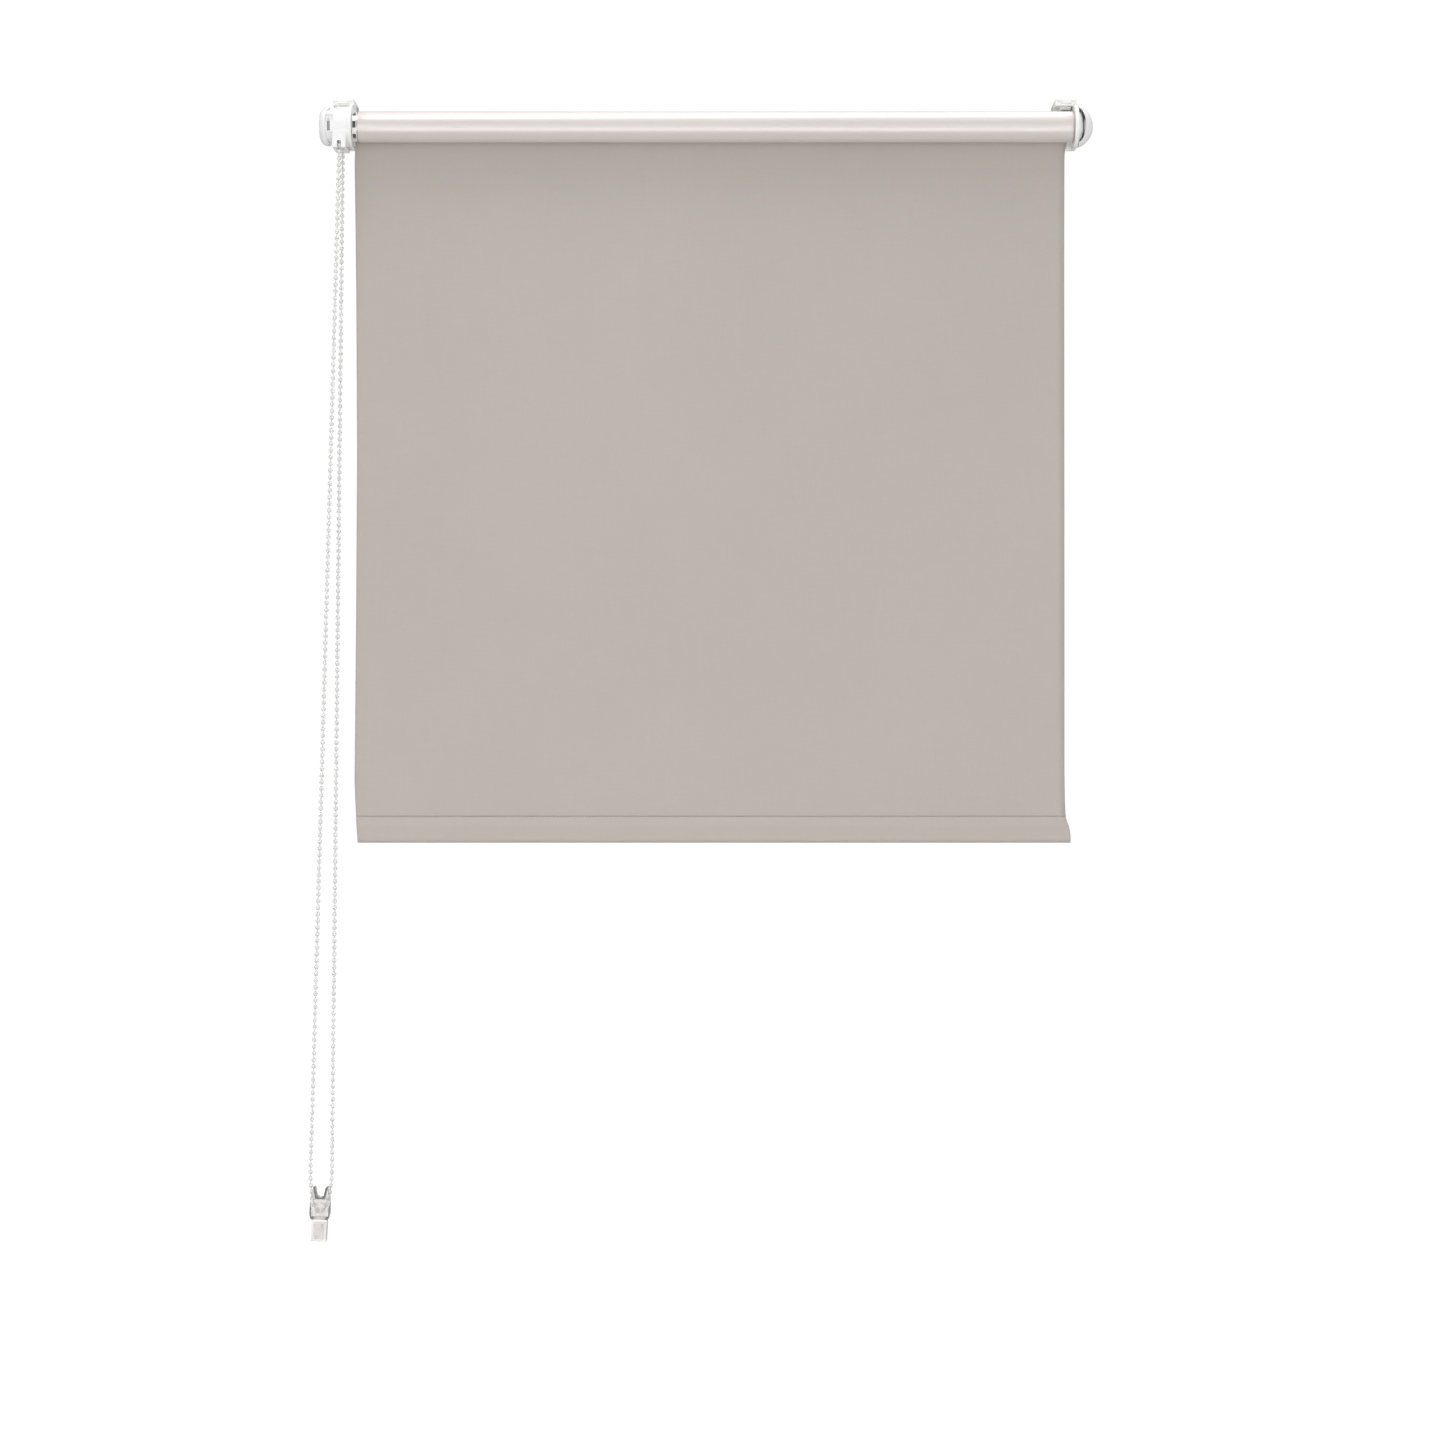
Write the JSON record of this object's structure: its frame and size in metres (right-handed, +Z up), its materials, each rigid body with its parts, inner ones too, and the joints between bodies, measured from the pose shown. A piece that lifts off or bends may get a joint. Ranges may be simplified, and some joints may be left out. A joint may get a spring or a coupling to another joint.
{
  "type": "roller blind",
  "caption": "Clamp-on roller blind: fabric on a turning tube between two sash brackets, worked by a weighted bead-chain loop.",
  "frame": {"origin": "on the window sash's top front edge, midway between the two clamp hooks: Z = 0 is the underside of the hooks and Y = 0 the room side of the sash", "axes": "+X to the right along the roller, -Y towards the room, +Z up"},
  "size_m": [0.712, 0.0632, 1.0371],
  "materials": {
    "bracket_plastic": "satin",
    "cap_plastic": "gloss",
    "drive_plastic": "matte",
    "clear_plastic": "gloss",
    "chain_plastic": "satin",
    "rubber": "matte",
    "steel": "brushed",
    "tube_aluminium": "satin",
    "blind_fabric": "matte",
    "pearl_backing": "satin",
    "tape": "satin"
  },
  "bodies": {
    "brackets": {"bracket_left": "bracket_plastic", "bracket_right": "bracket_plastic", "bracket_pads": "rubber", "clamp_screws": "steel", "clamp_nuts": "steel", "chain_housing": "cap_plastic", "housing_cap": "cap_plastic", "clutch_spindle": "drive_plastic", "chain_on_sprocket": "chain_plastic", "idle_bearing": "bracket_plastic", "idle_cap": "cap_plastic"},
    "roller": {"chain_sprocket": "drive_plastic", "brake_spring": "steel", "drive_plug": "drive_plastic", "roller_tube": "tube_aluminium", "adhesive_strip": "tape", "fabric_roll": "pearl_backing", "idle_plug": "drive_plastic", "pin_spring": "steel"},
    "idle_pin": {"idle_pin": "steel"},
    "hem": {"fabric_drop": "blind_fabric", "hem_pocket": "blind_fabric", "hem_bar": "tube_aluminium", "hem_cap_left": "bracket_plastic", "hem_cap_right": "bracket_plastic"},
    "hook_left": {"clamp_hook_left": "bracket_plastic", "lip_pad_left": "rubber"},
    "hook_right": {"clamp_hook_right": "bracket_plastic", "lip_pad_right": "rubber"},
    "chain": {"chain_loop": "chain_plastic", "weight_front_shell": "clear_plastic", "weight_back_shell": "clear_plastic", "weight_base": "clear_plastic", "weight_slug": "steel"}
  },
  "joints": [
    {"name": "roller_turn", "type": "hinge", "parent": "brackets", "child": "roller", "pos_m": [0, -0.023, -0.024], "axis": [1, 0, 0], "range_deg": [-1802, 2289]},
    {"name": "hem_lift", "type": "slide", "parent": "brackets", "child": "hem", "axis": [0, 0, 1], "range_m": [-0.4415, 0.5605], "deforming": ["fabric_drop"]},
    {"name": "pin_push", "type": "slide", "parent": "roller", "child": "idle_pin", "axis": [-1, 0, 0], "range_m": [0, 0.007], "stiffness_N_per_m": 600, "springref_m": -0.006, "deforming": ["pin_spring"]},
    {"name": "left_hook_slide", "type": "slide", "parent": "brackets", "child": "hook_left", "axis": [0, 1, 0], "range_m": [-0.006, 0.007]},
    {"name": "right_hook_slide", "type": "slide", "parent": "brackets", "child": "hook_right", "axis": [0, 1, 0], "range_m": [-0.006, 0.007]},
    {"name": "chain_swing", "type": "hinge", "parent": "brackets", "child": "chain", "pos_m": [-0.33, -0.023, -0.0455], "axis": [0, 1, 0], "range_deg": [-10, 10]}
  ],
  "couplings": [
    {"joint": "hem_lift", "follows": "roller_turn", "m_per_rad": 0.014}
  ]
}
